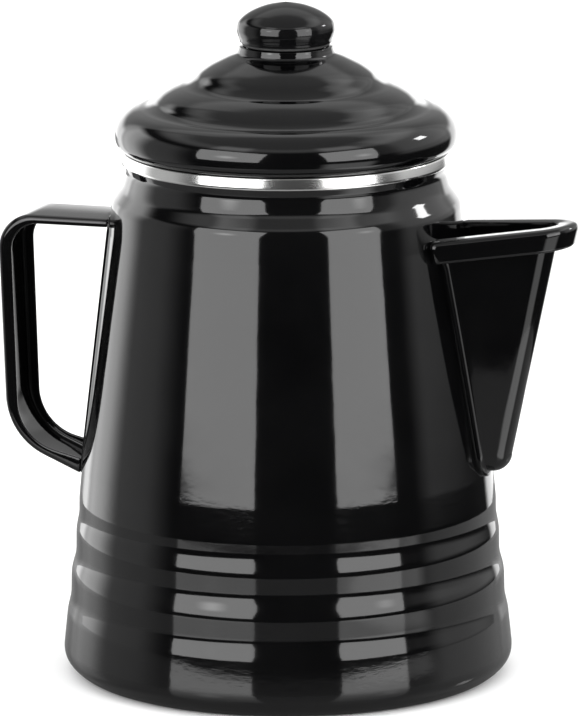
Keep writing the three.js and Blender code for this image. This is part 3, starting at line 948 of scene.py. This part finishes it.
def make_camera():
    data = bpy.data.cameras.new("camera")
    data.sensor_fit = "AUTO"
    data.sensor_width = 36
    data.lens = CAMERA_LENS
    data.shift_x = CAMERA_SHIFT
    data.clip_start, data.clip_end = 0.1, 100
    camera = bpy.data.objects.new("camera", data)
    bpy.context.scene.collection.objects.link(camera)
    a = math.radians(CAMERA_AZIMUTH)
    place = MM * Vector(
        (CAMERA_DISTANCE * math.sin(a), -CAMERA_DISTANCE * math.cos(a), CAMERA_HEIGHT))
    turn = (Matrix.Rotation(a, 4, "Z") @ Matrix.Rotation(math.radians(90 - CAMERA_PITCH), 4, "X")
            @ Matrix.Rotation(math.radians(CAMERA_ROLL), 4, "Z"))
    camera.matrix_world = Matrix.Translation(place) @ turn
    bpy.context.scene.camera = camera


SOFTBOX_DISTANCE = 2.2  # metres
SOFTBOX_AIM = Vector((0, 0, 0.12))  # the middle of the pot
LAMP_REACH = 0.22  # how far a lamp's glow spreads, as a share of its softbox


def softbox(name, azimuth, elevation, width, height, radiance, lamp=0.0, lamp_at=(0.5, 0.5)):
    """A rectangular area light facing the pot; azimuth goes to the right from the camera's side.

    Radiance is what its diffuser shows, and lamp what the flash behind it adds round a place on it.
    """
    data = bpy.data.lights.new(name, "AREA")
    data.shape = "RECTANGLE"
    data.size, data.size_y = width, height
    data.energy = radiance * math.pi * width * height
    data.use_nodes = True
    tree = data.node_tree
    spot = tree.nodes.new("ShaderNodeNewGeometry").outputs["Parametric"]
    from_lamp = tree.nodes.new("ShaderNodeVectorMath")
    from_lamp.operation = "DISTANCE"
    from_lamp.inputs[1].default_value = (*lamp_at, 0)
    tree.links.new(spot, from_lamp.inputs[0])
    glow = tree.nodes.new("ShaderNodeMapRange")
    glow.interpolation_type = "SMOOTHSTEP"
    glow.inputs["From Min"].default_value = 0.0
    glow.inputs["From Max"].default_value = LAMP_REACH
    glow.inputs["To Min"].default_value = 1 + lamp
    glow.inputs["To Max"].default_value = 1.0
    tree.links.new(from_lamp.outputs["Value"], glow.inputs["Value"])
    tree.links.new(glow.outputs["Result"], tree.nodes["Emission"].inputs["Strength"])
    light = bpy.data.objects.new(name, data)
    bpy.context.scene.collection.objects.link(light)
    a, e = math.radians(CAMERA_AZIMUTH + azimuth), math.radians(elevation)
    away = Vector((math.sin(a) * math.cos(e), -math.cos(a) * math.cos(e), math.sin(e)))
    light.location = SOFTBOX_AIM + away * SOFTBOX_DISTANCE
    light.rotation_mode = "QUATERNION"
    light.rotation_quaternion = away.to_track_quat("Z", "Y")
    light.visible_camera = False


# What the studio shows to the pot besides the softboxes: azimuth from the camera's side (left,
# right, softness), elevation (low, high, softness) in degrees, and radiance, where the white floor
# is 1. Patches add up where they overlap, so a negative one darkens what it lies over.
STUDIO = [
    ((-400, 400, 1), (-100, 100, 1), 0.03),  # the dark room
    ((-400, 400, 1), (39, 100, 4), 0.36),  # its ceiling
    ((-140, 140, 8), (43, 53, 5), 0.35),  # the ceiling's lighter front
    ((-62, -30, 6), (40, 56, 5), 1.1),  # light spilled above each softbox
    ((28, 62, 6), (40, 56, 5), 1.1),
    ((-145, -116, 10), (-30, 28, 4), 2.0),  # a panel on the left and its dim edge
    ((-116, -76, 12), (-30, 28, 4), 0.42),
    ((66, 145, 8), (6, 60, 5), 0.25),  # the wall on the right, in two depths
    ((26, 62, 5), (-38, -12, 2), 1.2),  # light on the floor below the right softbox
    ((82, 145, 8), (-4, 60, 4), 0.5),
    ((145, 400, 4), (-100, 8, 5), 1.9),  # the white background behind the pot
    ((-400, -145, 4), (-100, 8, 5), 1.9),
    ((-400, -158, 5), (-15, -8.9, 0.5), -1.5),  # the dark fold at the background's foot
    ((145, 400, 4), (8, 60, 6), 0.4),  # the background's upper part
    ((-400, -145, 4), (8, 60, 6), 0.4),
]


PLAIN_RADIANCE = 1.5  # of the white that the camera and the soft light see


def make_world():
    """White for the camera and for soft light; the dark studio with its panels for reflections."""
    world = bpy.data.worlds.new("studio")
    bpy.context.scene.world = world
    world.use_nodes = True
    n = Nodes(world.node_tree, "Generated")
    x, y, z = n.axes()
    c, s = math.cos(math.radians(CAMERA_AZIMUTH)), math.sin(math.radians(CAMERA_AZIMUTH))
    right = n.math("ADD", n.math("MULTIPLY", x, c), n.math("MULTIPLY", y, s))
    front = n.math("SUBTRACT", n.math("MULTIPLY", x, s), n.math("MULTIPLY", y, c))
    azimuth = n.math("MULTIPLY", n.math("ARCTAN2", right, front), math.degrees(1))
    elevation = n.math("MULTIPLY", n.math("ARCSINE", z), math.degrees(1))
    total = None
    for across, up, radiance in STUDIO:
        patch = n.math("MULTIPLY", n.window(azimuth, *across), n.window(elevation, *up))
        patch = n.math("MULTIPLY", patch, radiance)
        total = patch if total is None else n.math("ADD", total, patch)
    mirrored = n.node("ShaderNodeLightPath").outputs["Is Glossy Ray"]
    plain = n.math("MULTIPLY", n.math("SUBTRACT", 1.0, mirrored), PLAIN_RADIANCE)
    studio = n.math("MULTIPLY", total, mirrored)
    background = world.node_tree.nodes["Background"]
    background.inputs["Color"].default_value = (1, 1, 1, 1)
    n.link(n.math("ADD", plain, studio), background.inputs["Strength"])


TABLE_RADIUS = 0.35  # how far the table reaches in the pot's reflections
FLOOR_RADIUS = 6.0


def make_floor():
    """One pale floor in two pieces: the table, and the rest, which the pot doesn't mirror."""
    sides = 128
    turns = [2 * math.pi * i / sides for i in range(sides)]
    ring = [(math.cos(turn), math.sin(turn)) for turn in turns]
    near = [(x * TABLE_RADIUS, y * TABLE_RADIUS, 0) for x, y in ring]
    far = [(x * FLOOR_RADIUS, y * FLOOR_RADIUS, 0) for x, y in ring]
    around = [(i, (i + 1) % sides, sides + (i + 1) % sides, sides + i) for i in range(sides)]
    material = pale_floor()
    for name, points, faces in (("table", near, [tuple(range(sides))]),
                                ("floor", near + far, [face[::-1] for face in around])):
        mesh = bpy.data.meshes.new(name)
        mesh.from_pydata(points, [], faces)
        mesh.materials.append(material)
        made = bpy.data.objects.new(name, mesh)
        bpy.context.scene.collection.objects.link(made)
        if name == "floor":
            made.visible_glossy = False
            made.visible_shadow = False


bpy.context.scene.view_settings.view_transform = "Standard"
make_camera()
make_world()
make_floor()
softbox("left_box", -39.5, 17.4, 1.82, 1.55, 3.4, 0.9, (0.47, 0.44))
softbox("right_box", 44.5, 17.4, 1.47, 1.55, 3.4, 0.6, (0.72, 0.44))
softbox("right_lamp", 112, 28, 0.36, 0.3, 12)

make_pot()
make_rim_band()
make_spout()
make_handle()
make_back_strip()
make_lid()
make_skirt()
make_knob()
make_seal()
make_pump()
make_basket()
make_spreader()

bpy.context.view_layer.update()
